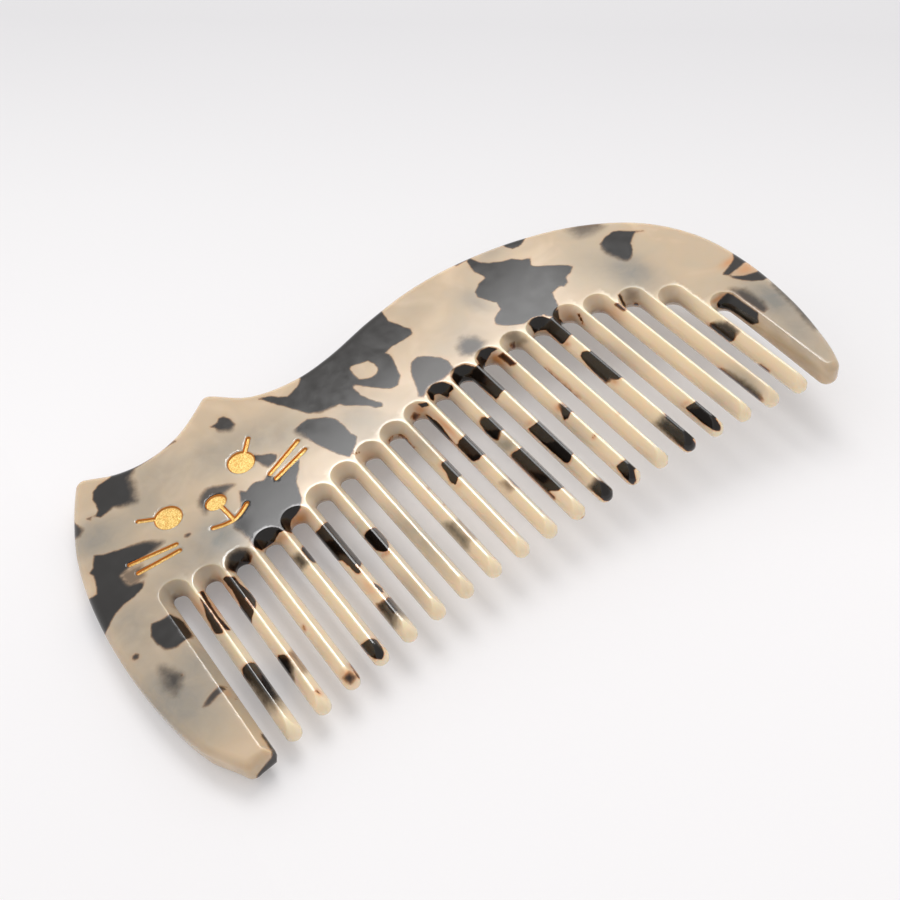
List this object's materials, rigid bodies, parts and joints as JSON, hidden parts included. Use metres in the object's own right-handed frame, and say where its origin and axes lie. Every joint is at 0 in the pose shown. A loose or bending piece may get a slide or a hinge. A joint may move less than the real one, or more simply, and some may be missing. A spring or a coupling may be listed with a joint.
{
  "type": "hair comb",
  "caption": "Flat acetate hair comb cut in the outline of a lying cat, with a stamped gold face and a row of straight teeth between two wide end teeth.",
  "frame": {"origin": "middle of the comb's length and width on its back face, which lies on the surface", "axes": "+X along the comb from the cat's head to its tail, +Y from the teeth to the spine, +Z out of the stamped face"},
  "size_m": [0.1202, 0.0632, 0.0046],
  "materials": {
    "acetate": "polished marbled acetate, pale cream with dark brown flakes",
    "gold_foil": "hot-stamped gold foil, slightly grainy"
  },
  "bodies": {
    "root": {"comb_body": "acetate", "left_eye": "gold_foil", "right_eye": "gold_foil", "nose_mouth": "gold_foil", "whisker_left_upper": "gold_foil", "whisker_left_lower": "gold_foil", "whisker_right_upper": "gold_foil", "whisker_right_lower": "gold_foil"}
  },
  "joints": []
}
